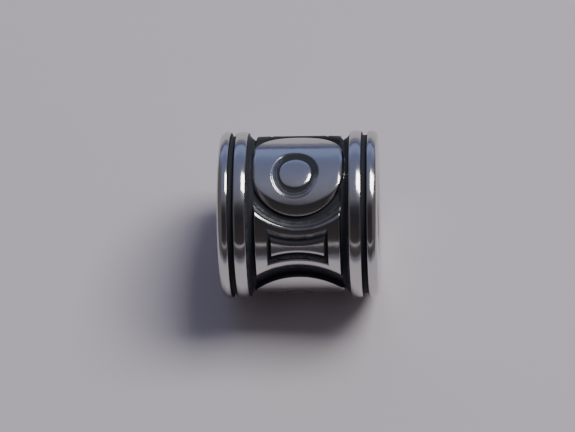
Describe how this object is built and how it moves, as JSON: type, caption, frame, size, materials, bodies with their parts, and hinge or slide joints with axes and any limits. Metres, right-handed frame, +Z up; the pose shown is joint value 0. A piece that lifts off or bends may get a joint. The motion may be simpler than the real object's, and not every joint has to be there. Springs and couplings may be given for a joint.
{
  "type": "european charm bead",
  "caption": "Oxidised silver barrel bead with a large plain bore, paired rings at each end and a relief band of discs alternating with spool-shaped panels.",
  "frame": {"origin": "centre of the bore, at the bead's mid-length", "axes": "+X along the bore, +Z up with the bead lying on its side, and the first disc facing almost straight up"},
  "size_m": [0.0084, 0.009, 0.009],
  "materials": {
    "charm_bead": "polished silver with blackened recesses"
  },
  "bodies": {
    "root": {"charm_bead": "charm_bead"}
  },
  "joints": []
}
